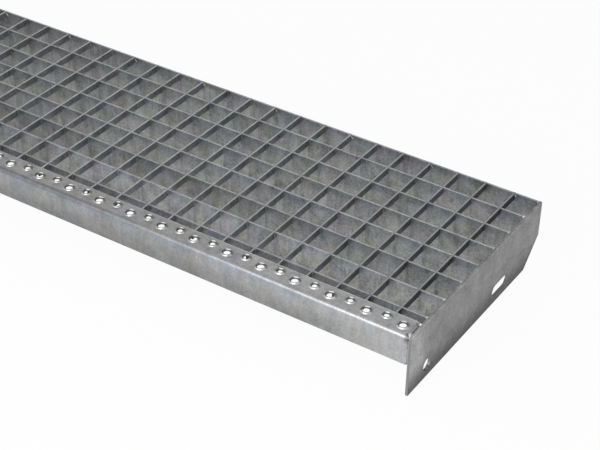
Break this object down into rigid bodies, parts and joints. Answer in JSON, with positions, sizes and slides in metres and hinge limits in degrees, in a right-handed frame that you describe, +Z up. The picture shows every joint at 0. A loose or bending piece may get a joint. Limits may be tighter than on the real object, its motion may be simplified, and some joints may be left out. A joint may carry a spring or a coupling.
{
  "type": "stair tread",
  "caption": "Galvanised steel grating stair tread with a raised-hole safety nosing and end plates that bolt to the strings.",
  "frame": {"origin": "middle of the length and depth, level with the bottom edges of the end plates that the tread stands on", "axes": "+X along the tread to its right end plate, -Y out of the front nosing, +Z up out of the walking surface"},
  "size_m": [0.8, 0.27, 0.0713],
  "materials": {
    "galvanised_steel": "dull cloudy hot dip zinc",
    "galvanised_weld": "smooth bright zinc over weld metal"
  },
  "bodies": {
    "root": {"end_plate_left": "galvanised_steel", "end_plate_right": "galvanised_steel", "nosing": "galvanised_steel", "front_bar": "galvanised_steel", "bearing_bar_1": "galvanised_steel", "bearing_bar_2": "galvanised_steel", "bearing_bar_3": "galvanised_steel", "bearing_bar_4": "galvanised_steel", "bearing_bar_5": "galvanised_steel", "bearing_bar_6": "galvanised_steel", "rear_bar": "galvanised_steel", "cross_bar_01": "galvanised_steel", "cross_bar_02": "galvanised_steel", "cross_bar_03": "galvanised_steel", "cross_bar_04": "galvanised_steel", "cross_bar_05": "galvanised_steel", "cross_bar_06": "galvanised_steel", "cross_bar_07": "galvanised_steel", "cross_bar_08": "galvanised_steel", "cross_bar_09": "galvanised_steel", "cross_bar_10": "galvanised_steel", "cross_bar_11": "galvanised_steel", "cross_bar_12": "galvanised_steel", "cross_bar_13": "galvanised_steel", "cross_bar_14": "galvanised_steel", "cross_bar_15": "galvanised_steel", "cross_bar_16": "galvanised_steel", "cross_bar_17": "galvanised_steel", "cross_bar_18": "galvanised_steel", "cross_bar_19": "galvanised_steel", "cross_bar_20": "galvanised_steel", "cross_bar_21": "galvanised_steel", "cross_bar_22": "galvanised_steel", "cross_bar_23": "galvanised_steel", "bar_welds_left": "galvanised_weld", "bar_welds_right": "galvanised_weld", "nosing_weld_left": "galvanised_weld", "nosing_weld_right": "galvanised_weld", "tack_welds": "galvanised_weld"}
  },
  "joints": []
}
